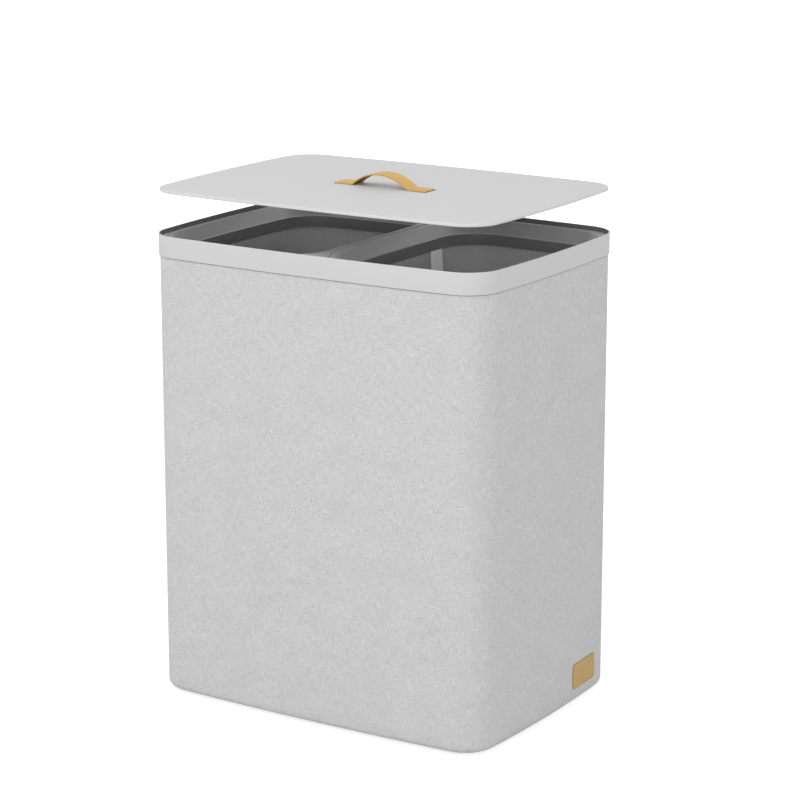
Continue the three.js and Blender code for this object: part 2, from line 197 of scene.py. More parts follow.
# Lid, strap and fasteners
lid_inset = 0.0027
lid_edge = 0.0013
plate_reach = 0.02
strap_span = 0.0425
strap_fold = 0.006
strap_thickness = 0.0018
strap_edge = 0.0005
strap_wave = 0.00025
strap_wave_rate = 70
strap_sway = 0.0002
strap_sway_rate = 31
strap_flesh_share = 0.6
strap_cut_width = 0.0005
strap_end_width = 0.0006
strap_cut_share = 0.45
bolt_radius = 0.0023
washer_edge = 0.0001
washer_top_edge = 0.0002
nut_corner = 0.0003
nut_edge = 0.0002
nut_chamfer_shares = (0.12, 0.15)

# Fineness of the grids
side_spacing = 0.005
corner_spacing = 0.002
bag_spacing = 0.0045
bag_corner_spacing = 0.003
bag_ring_spacing = 0.0055
cover_ring_spacing = 0.012
label_ring_spacing = 0.0012
round_steps = 5
seam_rings = 96
ribbon_rings = 25
plate_rings = 7
label_rings = 8
floor_rings = 6
strap_end_rings = 12
strap_fold_rings = 15
strap_arch_rings = 41
strap_top_points = 10
binding_points = 10

# Tolerances
weld_distance = 0.00002
on_middle = 1e-7
crossing_slack = 1e-9
parallel_limit = 1e-12

full_turn = 2 * math.pi
quarter_turn = math.pi / 2


# Grids and meshes


def rounded(corners, closed=True):
    """A profile of (inset, height, radius) corners, each turned into an arc that touches both its sides.

    Returns the points and, for each, an edge value that is 1 in the middle of an arc and 0 on the flats.
    """
    places = np.array([corner[:2] for corner in corners], float)
    points, edge = [], []
    for i, (place, corner) in enumerate(zip(places, corners)):
        ends_here = not closed and i in (0, len(corners) - 1)
        if corner[2] == 0 or ends_here:
            points.append(place[None])
            edge.append([0.0])
            continue
        to_last = places[i - 1] - place
        to_next = places[(i + 1) % len(places)] - place
        to_last /= np.linalg.norm(to_last)
        to_next /= np.linalg.norm(to_next)
        half = math.acos(np.clip(to_last @ to_next, -1, 1)) / 2
        reach = corner[2] / math.tan(half)
        middle = (to_last + to_next) / np.linalg.norm(to_last + to_next)
        centre = place + middle * corner[2] / math.sin(half)
        start = place + to_last * reach - centre
        finish = place + to_next * reach - centre
        turn = math.pi - 2 * half
        t = np.linspace(0, 1, round_steps + 1)[:, None]
        swept = np.sin((1 - t) * turn) * start + np.sin(t * turn) * finish
        points.append(centre + swept / math.sin(turn))
        edge.append(np.sin(math.pi * t[:, 0]))
    return np.concatenate(points), np.concatenate(edge)


def filled(profile, spacing):
    """The same profile with points added so that no step is longer than the spacing."""
    points, edge = profile
    pieces, values = [points[:1]], [edge[:1]]
    for i in range(1, len(points)):
        count = max(1, math.ceil(np.linalg.norm(points[i] - points[i - 1]) / spacing))
        t = np.linspace(0, 1, count + 1)[1:, None]
        pieces.append(points[i - 1] + (points[i] - points[i - 1]) * t)
        values.append(edge[i - 1] + (edge[i] - edge[i - 1]) * t[:, 0])
    return np.concatenate(pieces), np.concatenate(values)


def upright(inset, wall, low, high, low_edge, high_edge):
    """The corners of an upright wall's section: up its outer face and down its inner one."""
    inner = inset + wall
    outer_face = [(inset, low, low_edge), (inset, high, high_edge)]
    inner_face = [(inner, high, high_edge), (inner, low, low_edge)]
    return outer_face + inner_face


def plate(inset, low, high, low_edge, high_edge):
    """The corners of a flat plate's section: out along its underside, up its edge and back on top."""
    inner = inset + plate_reach
    return [(inner, low, 0), (inset, low, low_edge), (inset, high, high_edge), (inner, high, 0)]


def plan_of(points, out, slack):
    """A closed outline: its points, outward directions, running length and how slack a sheet is there."""
    steps = np.linalg.norm(np.roll(points, -1, 0) - points, axis=1)
    run = np.concatenate([[0.0], np.cumsum(steps)])
    return {"points": points, "out": out, "run": run, "slack": slack}


def directions(angle):
    """Unit vectors (cos, sin), one for each angle."""
    return np.stack([np.cos(angle), np.sin(angle)], axis=1)


def bow_radius(chord, bow):
    """The radius of an arc over a chord that rises by the bow in its middle."""
    return (chord * chord / 4 + bow * bow) / (2 * bow)


def bowed_side(direction, distance, radius):
    """The centre and radius of an arc whose outermost point lies at that distance in that direction."""
    centre = (distance - radius) * np.array([math.cos(direction), math.sin(direction)])
    return centre, radius


def corner_centre(side, after, radius):
    """Where the centre of a round corner lies that touches two neighbouring arcs from inside."""
    apart = after[0] - side[0]
    span = np.linalg.norm(apart)
    reach, reach_after = side[1] - radius, after[1] - radius
    along = (reach**2 - reach_after**2 + span**2) / (2 * span)
    across = math.sqrt(reach**2 - along**2)
    return side[0] + (apart * along + np.array([-apart[1], apart[0]]) * across) / span


def bearing(centre, point):
    """The angle at which a point lies, seen from a centre."""
    return math.atan2(point[1] - centre[1], point[0] - centre[0])


def bowed_plan(sides, radius, spacing=side_spacing, corner_step=corner_spacing):
    """Bowed sides and round corners, counter-clockwise; every point is centre + radius (cos, sin)."""
    corners = [corner_centre(side, sides[(i + 1) % len(sides)], radius) for i, side in enumerate(sides)]
    points, outs, slacks = [], [], []
    for i, (centre, reach) in enumerate(sides):
        last, corner = corners[i - 1], corners[i]
        after = sides[(i + 1) % len(sides)][0]
        arcs = (
            (centre, reach, bearing(centre, last), bearing(centre, corner), spacing, 1.0),
            (corner, radius, bearing(centre, corner), bearing(after, corner), corner_step, 0.0),
        )
        for middle, arc_radius, start, finish, step, slack in arcs:
            turn = (finish - start) % full_turn
            count = math.ceil(turn * arc_radius / step)
            share = np.arange(count) / count
            out = directions(start + turn * share)
            points.append(middle + arc_radius * out)
            outs.append(out)
            slacks.append(slack * np.sin(math.pi * share))
    return plan_of(np.concatenate(points), np.concatenate(outs), np.concatenate(slacks))


def polygon_plan(corners, radius):
    """A convex polygon with round corners, counter-clockwise, drawn as arcs joined by straight lines."""
    corners = np.array(corners, float)
    points, outs = [], []
    for i, corner in enumerate(corners):
        before = corner - corners[i - 1]
        after = corners[(i + 1) % len(corners)] - corner
        start = math.atan2(before[1], before[0]) - quarter_turn
        turn = (math.atan2(after[1], after[0]) - math.atan2(before[1], before[0])) % full_turn
        out = directions(start + turn * np.linspace(0, 1, round_steps + 2))
        middle = start + turn / 2
        centre = corner - np.array([math.cos(middle), math.sin(middle)]) * radius / math.cos(turn / 2)
        points.append(centre + radius * out)
        outs.append(out)
    points = np.concatenate(points)
    return plan_of(points, np.concatenate(outs), np.zeros(len(points)))


def box_plan(half_width, low, high, radius):
    """A rectangle with round corners, as wide to both sides of its middle and from low to high."""
    corners = [(half_width, low), (half_width, high), (-half_width, high), (-half_width, low)]
    return polygon_plan(corners, radius)


def round_plan(radius, steps=48):
    """A circle about the origin."""
    out = directions(np.arange(steps) / steps * full_turn)
    return plan_of(radius * out, out, np.zeros(steps))


def loft(plan, profile):
    """One ring for each profile point: the outline drawn in by the inset, at the height."""
    inset, height = profile[:, 0], profile[:, 1]
    flat = plan["points"][None] - inset[:, None, None] * plan["out"][None]
    lifted = np.broadcast_to(height[:, None, None], flat.shape[:2] + (1,))
    return np.concatenate([flat, lifted], axis=2)


def closing_rings(ring, count):
    """Rings that shrink from a ring towards its middle, each point moving along a straight line."""
    middle = (ring.min(0) + ring.max(0)) / 2
    share = 1 - np.linspace(0, 1, count + 2)[1:-1, None, None]
    return middle + (ring - middle) * share


def facing_to(points, facing):
    """The points as they are for the right half, facing 1, or turned by half a turn for the left, -1."""
    return points * [facing, facing, 1]


def wrapped(side, angle, reach, height):
    """Points round a bowed side's centre: centre + reach (cos, sin), at the height."""
    x = side[0][0] + reach * np.cos(angle)
    y = side[0][1] + reach * np.sin(angle)
    return np.stack(np.broadcast_arrays(x, y, height), axis=-1)


def running(points):
    """Length along each column of a grid, from its first ring."""
    steps = np.linalg.norm(np.diff(points, axis=0), axis=-1).mean(axis=1)
    return np.concatenate([[0.0], np.cumsum(steps)])


@contextmanager
def opened(mesh):
    """A mesh opened for changes, which are written back at the end."""
    built = bmesh.new()
    built.from_mesh(mesh)
    yield built
    built.to_mesh(mesh)
    built.free()


def mark(mesh, name, values):
    """Writes a value for each vertex, which a finish reads by the same name."""
    layer = mesh.attributes.new(name, "FLOAT", "POINT")
    layer.data.foreach_set("value", np.asarray(values, np.float32).ravel())


def mesh_piece(name, vertices, faces, uv, edge=0.0, sharp=40):
    """An object from its vertices, faces and one UV pair for each face corner, in metres."""
    mesh = bpy.data.meshes.new(name)
    mesh.from_pydata(vertices.tolist(), [], faces)
    layer = mesh.uv_layers.new(name="run")
    layer.data.foreach_set("uv", uv.astype(np.float32).ravel())
    mark(mesh, "edge", np.broadcast_to(edge, len(vertices)))
    with opened(mesh) as built:
        if all(line.is_manifold for line in built.edges):
            bmesh.ops.recalc_face_normals(built, faces=built.faces)
    mesh.shade_smooth()
    mesh.set_sharp_from_angle(angle=math.radians(sharp))
    piece = bpy.data.objects.new(name, mesh)
    bpy.context.scene.collection.objects.link(piece)
    return piece


def grid_faces(rows, columns, hoop):
    """Corner numbers and grid places of the faces between neighbouring rings, each closed on itself."""
    r, c = (place.ravel() for place in np.indices((rows if hoop else rows - 1, columns)))
    r_next, c_next = (r + 1) % rows, (c + 1) % columns
    corners = [(r, c), (r, c_next), (r_next, c_next), (r_next, c)]
    return np.stack([row * columns + column for row, column in corners], axis=1), r, c


def skin(name, rings, across=None, edge=0.0, hoop=False, caps=True, sharp=40):
    """A mesh over a grid of points, rings[row, column], with lengths along and across it as UVs.

    A hoop joins its last ring to its first, and otherwise caps fill both ends. The edge is one value, or one
    for each ring, or one for each point.
    """
    rows, columns = rings.shape[:2]
    faces, r, c = grid_faces(rows, columns, hoop)
    along = running(np.concatenate([rings, rings[:1]]) if hoop else rings)
    if across is None:
        across = running(np.swapaxes(np.concatenate([rings, rings[:, :1]], axis=1), 0, 1))
    corners = ((0, 0), (1, 0), (1, 1), (0, 1))
    uv = np.stack([np.stack([across[c + i], along[r + j]], axis=1) for i, j in corners], axis=1)
    faces, uv = faces.tolist(), uv.reshape(-1, 2)
    if caps and not hoop:
        first = list(range(columns))[::-1]
        last = list(range((rows - 1) * columns, rows * columns))
        faces += [first, last]
        flat = rings.reshape(-1, 3)[:, :2]
        uv = np.concatenate([uv, flat[first], flat[last]])
    if np.ndim(edge) == 1:
        edge = edge[:, None]
    values = np.broadcast_to(edge, (rows, columns)).ravel()
    return mesh_piece(name, rings.reshape(-1, 3), faces, uv, values, sharp)


def lofted(name, plan, corners, closed=True, facing=1):
    """A piece lofted round a plan through a rounded profile."""
    profile, edge = rounded(corners, closed)
    return skin(name, facing_to(loft(plan, profile), facing), plan["run"], edge, hoop=closed)


def joined(name, pieces):
    """Several pieces as one object, with the same UV and edge layers."""
    with bpy.context.temp_override(active_object=pieces[0], selected_editable_objects=pieces):
        bpy.ops.object.join()
    pieces[0].name = pieces[0].data.name = name
    return pieces[0]


def mark_painted_shade(piece, rows):
    """Marks whole rings of a lofted piece as inner faces that take painted shade: 1 on the chosen rings and
    0 on the rest.
    """
    mark(piece.data, "inside", np.repeat(rows, len(piece.data.vertices) // len(rows)))


def finished(piece, material):
    """Gives a piece or a CAD node its one finish."""
    piece.data.materials.clear()
    piece.data.materials.append(material)


def fitted(piece, body, material, nodes):
    """Gives a piece its finish and its body, and lets it stand for the nodes it replaces."""
    finished(piece, material)
    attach(piece, body)
    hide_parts(*nodes)
    return piece


def middle_of(node):
    """The middle of a CAD node's box."""
    return [(low + high) / 2 for low, high in zip(*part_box(node))]


# Finishes


def feed(made, inputs):
    """Sets inputs of a shader node, each to a value or to what another node gives."""
    for key, value in dict(inputs).items():
        if isinstance(value, bpy.types.NodeSocket):
            made.id_data.links.new(value, made.inputs[key])
        else:
            made.inputs[key].default_value = value


def node_maker(tree):
    """A function that adds a node to a tree and sets its inputs."""

    def add(kind, inputs=(), **settings):
        made = tree.nodes.new("ShaderNode" + kind)
        for key, value in settings.items():
            setattr(made, key, value)
        feed(made, inputs)
        return made

    return add


def blank(name):
    """A new material with its shader, and a function that adds a node and sets its inputs."""
    material = bpy.data.materials.new(name)
    material.use_nodes = True
    return material, material.node_tree.nodes["Principled BSDF"], node_maker(material.node_tree)


def maths(add, operation, *values):
    """One arithmetic step on values and on what other nodes give."""
    return add("Math", dict(enumerate(values)), operation=operation).outputs[0]


def weighted(add, *terms):
    """A sum of terms, each a value and its weight."""
    total = 0.0
    for value, weight in terms:
        total = maths(add, "MULTIPLY_ADD", value, weight, total)
    return total


def spread(add, value, low, high, to_low=0.0, to_high=1.0):
    """A value carried from one range to another, and held at its ends."""
    ends = {"From Min": low, "From Max": high, "To Min": to_low, "To Max": to_high}
    return add("MapRange", {"Value": value, **ends}).outputs[0]


def stretched_noise(add, vector, scale, detail=3.0, rough=0.6):
    """Noise over a vector that is stretched by its own scale along each axis, per metre."""
    mapped = add("Mapping", {"Vector": vector, "Scale": scale}).outputs[0]
    grain = {"Vector": mapped, "Scale": 1.0, "Detail": detail, "Roughness": rough}
    return add("TexNoise", grain).outputs["Fac"]


def place_on(add):
    """Where a point lies on the object."""
    return add("TexCoord").outputs["Object"]


def marked(add, name):
    """The value that a piece carries under a name."""
    return add("Attribute", attribute_name=name).outputs["Fac"]


def tint(add, value, tone, dark, light, clamp=True):
    """A tone from its dark to its light share, by a value from 0 to 1."""
    ends = {"A": (*np.multiply(tone, dark), 1), "B": (*np.multiply(tone, light), 1)}
    return add("Mix", {"Factor": value, **ends}, data_type="RGBA", clamp_factor=clamp).outputs["Result"]


def bumped(add, height, distance, strength):
    """The surface's direction, tilted by a height between 0 and 1 that is as deep as the distance."""
    return add("Bump", {"Height": height, "Distance": distance, "Strength": strength}).outputs[0]


def moulded_plastic(
    name, tone, rough, grain=2400, edge_shine=0.12, edge_light=0.25, gloss=0.35, inside=None
):
    """Matt moulded plastic: fine spark-eroded grain, faint flow marks and polished, paler edges, which a
    large edge_light makes a painted highlight.

    Where a piece marks its inner faces, they take the grey that inside gives, as painted shade.
    """
    material, shader, add = blank(name)
    place = place_on(add)
    flow = stretched_noise(add, place, (9, 9, 9), 4.0)
    fine = stretched_noise(add, place, (grain, grain, grain), 2.0)
    # Paler edges: polish, and where edge_light is large a painted highlight.
    polish_and_highlight = marked(add, "edge")
    value = weighted(add, (flow, 0.7), (fine, 0.3), (polish_and_highlight, edge_light))
    colour = tint(add, value, tone, 0.965, 1.035, clamp=False)
    # Marked inner faces are painted darker as shade.
    if inside:
        painted_shade_mix = {"Factor": marked(add, "inside"), "A": colour, "B": (inside, inside, inside, 1)}
        colour = add("Mix", painted_shade_mix, data_type="RGBA").outputs["Result"]
    roughness = spread(add, flow, 0.3, 0.7, rough - 0.04, rough + 0.04)
    finish = {
        "Base Color": colour,
        "Roughness": weighted(add, (roughness, 1), (polish_and_highlight, -edge_shine)),
        "Specular IOR Level": gloss,
        "Normal": bumped(add, fine, 0.00003, 0.6),
    }
    feed(shader, finish)
    return material


def slubs(add, noise, other, near, far):
    """Short dashes where either of two stretched noises passes from a near to a far value, from 0 to 1."""
    dashes = [spread(add, value, near, far) for value in (noise, other)]
    return maths(add, "MAXIMUM", *dashes)


def thread_waves(add, length, shift, pitch):
    """A sine across the threads: sin(pi (length + shift) / pitch)."""
    return maths(add, "SINE", maths(add, "MULTIPLY", maths(add, "ADD", length, shift), math.pi / pitch))


def woven_cloth(name, dark, light, pitch, depth):
    """Plain weave over UVs in metres, in greys from dark to light, with slubs, melange fibres and clouds.

    Each thread goes over and under the next: the warp is |a| + a b and the weft |b| - a b, with a and b the
    sines across both sets of threads.
    """
    material, shader, add = blank(name)
    uv = add("UVMap", uv_map="run").outputs[0]
    wander = stretched_noise(add, uv, (60, 60, 1), 2.0)
    shift = maths(add, "MULTIPLY", wander, pitch * 1.5)
    lengths = add("SeparateXYZ", {"Vector": uv}).outputs
    a, b = (thread_waves(add, lengths[axis], shift, pitch) for axis in ("X", "Y"))
    crossing = maths(add, "MULTIPLY", a, b)
    warp = maths(add, "ADD", maths(add, "ABSOLUTE", a), crossing)
    weft = maths(add, "SUBTRACT", maths(add, "ABSOLUTE", b), crossing)
    weave = maths(add, "MULTIPLY", maths(add, "MAXIMUM", warp, weft), 0.5)
    upright_streaks = stretched_noise(add, uv, (640, 100, 1), 1.0, 0.5)
    level_streaks = stretched_noise(add, uv, (100, 640, 1), 1.0, 0.5)
    pale = slubs(add, upright_streaks, level_streaks, 0.61, 0.69)
    deep = slubs(add, upright_streaks, level_streaks, 0.38, 0.30)
    slub = weighted(add, (pale, 1), (deep, -1.25))
    fibre = stretched_noise(add, uv, (1500, 1500, 1), 2.0, 0.8)
    cloudy = stretched_noise(add, uv, (24, 30, 1), 3.0)
    value = weighted(add, (slub, 0.20), (fibre, 0.30), (cloudy, 0.22), (weave, 0.26))
    finish = {
        "Base Color": tint(add, spread(add, value, 0.25, 0.75), (1, 1, 1), dark, light),
        "Roughness": 0.9,
        "Sheen Weight": 0.15,
        "Sheen Roughness": 0.6,
        "Specular IOR Level": 0.2,
        "Normal": bumped(add, weighted(add, (weave, 0.6), (slub, 0.8)), depth, 0.7),
    }
    feed(shader, finish)
    return material


def tanned_leather(name, tone, grain):
    """Smooth tanned leather: small pebbles, pores and cloudy dye, with darker cut edges and an underside
    darkened as painted shade.
    """
    material, shader, add = blank(name)
    place = place_on(add)
    warp = add("TexNoise", {"Vector": place, "Scale": 220.0, "Detail": 3.0}).outputs["Color"]
    bent = add("Mix", {"Factor": 0.0022, "A": place, "B": warp}, data_type="VECTOR").outputs["Result"]
    cells = {"Vector": bent, "Scale": grain, "Randomness": 1.0}
    pebble = add("TexVoronoi", cells, feature="DISTANCE_TO_EDGE").outputs["Distance"]
    pebble = spread(add, pebble, 0.0, 0.35)
    cloud = stretched_noise(add, place, (55, 55, 55), 4.0)
    fine = stretched_noise(add, place, (1800, 1800, 1800), 3.0, 0.7)
    value = spread(add, weighted(add, (cloud, 0.8), (fine, 0.35), (pebble, 0.18)), 0.35, 0.95)
    # The marked underside is painted much darker as shade.
    value = weighted(add, (value, 1), (marked(add, "edge"), -1.2), (marked(add, "underside_shade"), -2.2))
    value = maths(add, "MAXIMUM", value, -2.2)
    finish = {
        "Base Color": tint(add, value, tone, (0.86, 0.84, 0.78), (1.10, 1.11, 1.14), clamp=False),
        "Specular IOR Level": 0.3,
        "Roughness": spread(add, fine, 0.3, 0.7, 0.52, 0.66),
        "Normal": bumped(add, weighted(add, (pebble, 0.6), (fine, 0.5)), 0.00012, 0.55),
    }
    feed(shader, finish)
    return material


def pressed_board(name, tone):
    """Grey pressed fibreboard: short fibres lying both ways and small dark specks."""
    material, shader, add = blank(name)
    place = place_on(add)
    one_way = stretched_noise(add, place, (500, 60, 500), 3.0, 0.7)
    other_way = stretched_noise(add, place, (60, 500, 500), 3.0, 0.7)
    speck = add("TexVoronoi", {"Vector": place, "Scale": 400.0}).outputs["Distance"]
    speck = spread(add, speck, 0.1, 0.35)
    fibres = spread(add, weighted(add, (one_way, 0.5), (other_way, 0.5)), 0.35, 0.65, 0.0, 0.85)
    value = weighted(add, (fibres, 1), (speck, 0.15))
    finish = {
        "Base Color": tint(add, value, tone, 0.78, 1.15),
        "Roughness": 0.85,
        "Specular IOR Level": 0.25,
        "Normal": bumped(add, value, 0.0001, 0.6),
    }
    feed(shader, finish)
    return material


def drawn_metal(name, tone):
    """Zinc-plated steel: fine drawing lines and a mottled shine."""
    material, shader, add = blank(name)
    place = place_on(add)
    lines = stretched_noise(add, place, (3000, 3000, 90), 3.0, 0.6)
    mottle = stretched_noise(add, place, (240, 240, 240), 3.0)
    finish = {
        "Base Color": tint(add, mottle, tone, 0.88, 1.08),
        "Metallic": 1.0,
        "Roughness": spread(add, mottle, 0.3, 0.7, 0.27, 0.42),
        "Normal": bumped(add, lines, 0.00002, 0.5),
    }
    feed(shader, finish)
    return material


def satin_ribbon(name, tone):
    """Woven ribbon: fine cross ribs, and ends that are a little darker."""
    material, shader, add = blank(name)
    uv = add("UVMap", uv_map="run").outputs[0]
    length = add("SeparateXYZ", {"Vector": uv}).outputs["Y"]
    rib = maths(add, "SINE", maths(add, "MULTIPLY", length, full_turn / 0.00045))
    rib = spread(add, rib, -1.0, 1.0)
    thread = stretched_noise(add, uv, (1600, 160, 1), 2.0)
    value = weighted(add, (thread, 0.7), (rib, 0.3), (marked(add, "edge"), -0.4))
    finish = {
        "Base Color": tint(add, value, tone, 0.9, 1.04),
        "Roughness": 0.7,
        "Sheen Weight": 0.2,
        "Normal": bumped(add, rib, 0.00008, 0.6),
    }
    feed(shader, finish)
    return material


lid_plastic = moulded_plastic("lid_plastic", (0.547, 0.547, 0.547), 0.56)
# The rim's inner wall face and the collars' bands, marked as inside, take a darker grey as painted shade.
rim_plastic = moulded_plastic("rim_plastic", (0.505, 0.505, 0.505), 0.58, inside=0.14)
# The collars' edge_light of 8.0 turns their paler edges into a painted highlight.
collar_plastic = moulded_plastic(
    "collar_plastic", (0.36, 0.36, 0.36), 0.32, edge_shine=0.06, edge_light=8.0, gloss=0.9, inside=0.165
)
cover_cloth = woven_cloth("cover_cloth", 0.441, 0.622, 0.00075, 0.00022)
lining_cloth = woven_cloth("bag_cloth", 0.39, 0.47, 0.0005, 0.00012)
thread_grey = woven_cloth("thread_grey", 0.36, 0.46, 0.0003, 0.0001)
strap_leather = tanned_leather("strap_leather", (0.585, 0.365, 0.109), 700)
label_leather = tanned_leather("label_leather", (0.47, 0.313, 0.120), 900)
grey_board = pressed_board("grey_board", (0.34, 0.325, 0.30))
zinc_steel = drawn_metal("zinc_steel", (0.50, 0.51, 0.52))
grey_nylon = moulded_plastic("grey_nylon", (0.11, 0.115, 0.12), 0.42, grain=900, edge_shine=0.0)
white_ribbon = satin_ribbon("white_ribbon", (0.92, 0.92, 0.91))


# Plans of the rim and of the right-hand bin; the left-hand bin is the same one turned by half a turn

rim_low, rim_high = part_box("top_rim")
rim_width = rim_high.x - rim_low.x
rim_depth = rim_high.y - rim_low.y
rim_top = rim_high.z
front_radius = bow_radius(rim_width, front_bow)
side_radius = bow_radius(rim_depth, side_bow)
divider_radius = bow_radius(rim_depth, divider_bow)
right_side = bowed_side(0, rim_width / 2, side_radius)
back_side = bowed_side(quarter_turn, rim_depth / 2, front_radius)
left_side = bowed_side(2 * quarter_turn, rim_width / 2, side_radius)
front_side = bowed_side(-quarter_turn, rim_depth / 2, front_radius)
hamper_plan = bowed_plan([right_side, back_side, left_side, front_side], corner_round)
divider_side = bowed_side(2 * quarter_turn, -divider_width / 2, divider_radius)
bin_sides = [
    bowed_side(0, rim_width / 2 - lip_inset, side_radius - lip_inset),
    bowed_side(quarter_turn, rim_depth / 2 - lip_inset, front_radius - lip_inset),
    divider_side,
    bowed_side(-quarter_turn, rim_depth / 2 - lip_inset, front_radius - lip_inset),
]
bin_plan = bowed_plan(bin_sides, bin_corner_round)
bag_plan = bowed_plan(bin_sides, bin_corner_round, bag_spacing, bag_corner_spacing)


# Rim moulding

collar_low, collar_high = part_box("right_bin_collar")
lip_z = collar_high.z
ledge_bottom = lip_z - ledge_thickness
shelf_z = lip_z - lip_thickness


def ray_reach(outline, origin, toward):
    """How far each ray goes from an origin to a closed outline.

    Cross products of a ray and an edge give the reach and the share of the edge where they meet.
    """
    start = outline[None] - origin
    step = (np.roll(outline, -1, 0) - outline)[None]
    ray = toward[:, None]
    across = ray[..., 0] * step[..., 1] - ray[..., 1] * step[..., 0]
    across = np.where(np.abs(across) < parallel_limit, parallel_limit, across)
    reach = (start[..., 0] * step[..., 1] - start[..., 1] * step[..., 0]) / across
    share = (start[..., 0] * ray[..., 1] - start[..., 1] * ray[..., 0]) / across
    hit = (share >= -crossing_slack) & (share <= 1 + crossing_slack) & (reach > 0)
    return np.where(hit, reach, np.inf).min(axis=1)


def right_outline():
    """The right half of the line inside the rim's wall, from x = 0 in front to x = 0 behind."""
    points = hamper_plan["points"] - hamper_plan["out"] * rim_wall / 2
    behind = points[points[:, 1] > rim_depth / 4]
    behind = behind[np.argsort(behind[:, 0])]
    back_y = np.interp(0, behind[:, 0], behind[:, 1])
    right = points[points[:, 0] > on_middle]
    right = right[np.argsort(np.arctan2(right[:, 1], right[:, 0]))]
    return np.concatenate([[[0, -back_y]], right, [[0, back_y]]])


def half_ledge():
    """Rings of the ledge's right half: from the rim over the top, down the hole, under the lip and back.

    Each point of the hole is joined to where its ray from the hole's middle meets the rim or x = 0.
    """
    hole, out = bin_plan["points"], bin_plan["out"]
    brink = hole + out * lip_gap
    bearing_line = hole - out * lip_bearing
    middle = np.array([hole[:, 0].mean(), 0.0])
    outline = right_outline()
    toward = brink - middle
    toward /= np.linalg.norm(toward, axis=1)[:, None]
    outer = middle + toward * ray_reach(outline, middle, toward)[:, None]
    for corner in (outline[0], outline[-1]):
        nearest = np.argmin(np.linalg.norm(outer - corner, axis=1))
        outer[nearest] = corner
    outer[np.abs(outer[:, 0]) < on_middle, 0] = 0
    away = (outer - brink) / np.linalg.norm(outer - brink, axis=1)[:, None]
    web_round = lip_edge / 2
    rings = [
        (outer, lip_z),
        (brink + away * web_round, lip_z),
        (brink, lip_z - web_round),
        (brink, shelf_z),
        (bearing_line, shelf_z),
        (bearing_line, ledge_bottom + lip_edge),
        (bearing_line + out * lip_edge, ledge_bottom),
        (outer, ledge_bottom),
    ]
    return np.stack([np.column_stack([flat, np.full(len(flat), z)]) for flat, z in rings])


def make_ledge():
    """Both halves as one closed body: they meet along x = 0, where the walls between them are left out."""
    right = half_ledge()
    halves = [
        skin(f"ledge_{side}", facing_to(right, facing), bin_plan["run"], hoop=True)
        for side, facing in (("right", 1), ("left", -1))
    ]
    ledge = joined("ledge", halves)
    with opened(ledge.data) as built:
        between = [
            face for face in built.faces if all(abs(corner.co.x) < on_middle for corner in face.verts)
        ]
        bmesh.ops.delete(built, geom=between, context="FACES")
        bmesh.ops.remove_doubles(built, verts=built.verts, dist=weld_distance)
        bmesh.ops.recalc_face_normals(built, faces=built.faces)
    ledge.data.set_sharp_from_angle(angle=math.radians(40))
    return ledge


def make_rim():
    """The wall, the ledge, the skirt inside the board and the rib under the divider, as one moulding."""
    root = ledge_bottom + rim_wall / 2
    wall_corners = upright(0, rim_wall, rim_top - rim_height, rim_top, rim_foot_edge, rim_edge)
    wall = lofted("rim_wall", hamper_plan, wall_corners)
    # The wall's inner face gets painted shade.
    mark_painted_shade(wall, rounded(wall_corners)[0][:, 0] > rim_wall - rim_foot_edge)
    skirt_corners = upright(skirt_inset, skirt_wall, ledge_bottom - skirt_height, root, rim_foot_edge, 0)
    skirt = lofted("rim_skirt", hamper_plan, skirt_corners)
    half_length = rim_depth / 2 - skirt_inset - skirt_wall / 2
    rib_plan = box_plan(rib_width / 2, -half_length, half_length, rim_edge)
    rib_bottom = ledge_bottom - rib_height
    rib_corners = [(rim_edge / 2, rib_bottom, 0), (0, rib_bottom, rim_foot_edge), (0, root, 0)]
    rib = lofted("rim_rib", rib_plan, rib_corners, closed=False)
    rim = joined("rim_moulding", [wall, make_ledge(), skirt, rib])
    fitted(rim, "hamper", rim_plastic, ["top_rim"])


# Cover and boards

cover_low, cover_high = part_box("fabric_cover")


def make_cover():
    """A sleeve of cloth: up the outside, over its cut edge, down inside and under the base to its hem."""
    foot = cover_low.z
    top = cover_high.z - shadow_gap
    inner = rim_proud + cloth_thickness
    hem = rim_proud + cover_round + cover_hem
    cut = cloth_thickness * cloth_cut_share
    corners = [
        (hem, foot, cut),
        (rim_proud, foot, cover_round),
        (rim_proud, top, cut),
        (inner, top, cut),
        (inner, foot + cloth_thickness, cover_round - cloth_thickness),
        (hem, foot + cloth_thickness, cut),
    ]
    profile, edge = filled(rounded(corners), cover_ring_spacing)
    cover = skin("cover_sleeve", loft(hamper_plan, profile), hamper_plan["run"], edge, hoop=True)
    fitted(cover, "hamper", cover_cloth, ["fabric_cover"])
    make_back_seam()


def stitches(name, places, along, out, length, radius):
    """Short threads, each a bead of 6 rings with 6 points.

    A point is place + along sin(b) length / 2 + cos(b)^0.6 radius (out cos(a) + side sin(a)).
    """
    side = np.cross(along, out)
    b = np.radians([-80, -50, -20, 20, 50, 80])[None, :, None, None]
    a = (np.arange(6) / 6 * full_turn)[None, None, :, None]
    round_it = out[:, None, None] * np.cos(a) + side[:, None, None] * np.sin(a)
    grid = places[:, None, None] + along[:, None, None] * np.sin(b) * length / 2
    grid = grid + np.cos(b) ** 0.6 * radius * round_it
    count, rings, sides = grid.shape[:3]
    faces = grid_faces(rings, sides, False)[0]
    starts = np.arange(count) * rings * sides
    quads = (faces[None] + starts[:, None, None]).reshape(-1, 4).tolist()
    ends = []
    for first in starts.tolist():
        ends.append(list(range(first, first + sides))[::-1])
        ends.append(list(range(first + (rings - 1) * sides, first + rings * sides)))
    corners = sum(len(face) for face in quads + ends)
    return mesh_piece(name, grid.reshape(-1, 3), quads + ends, np.zeros((corners, 2)), sharp=60)


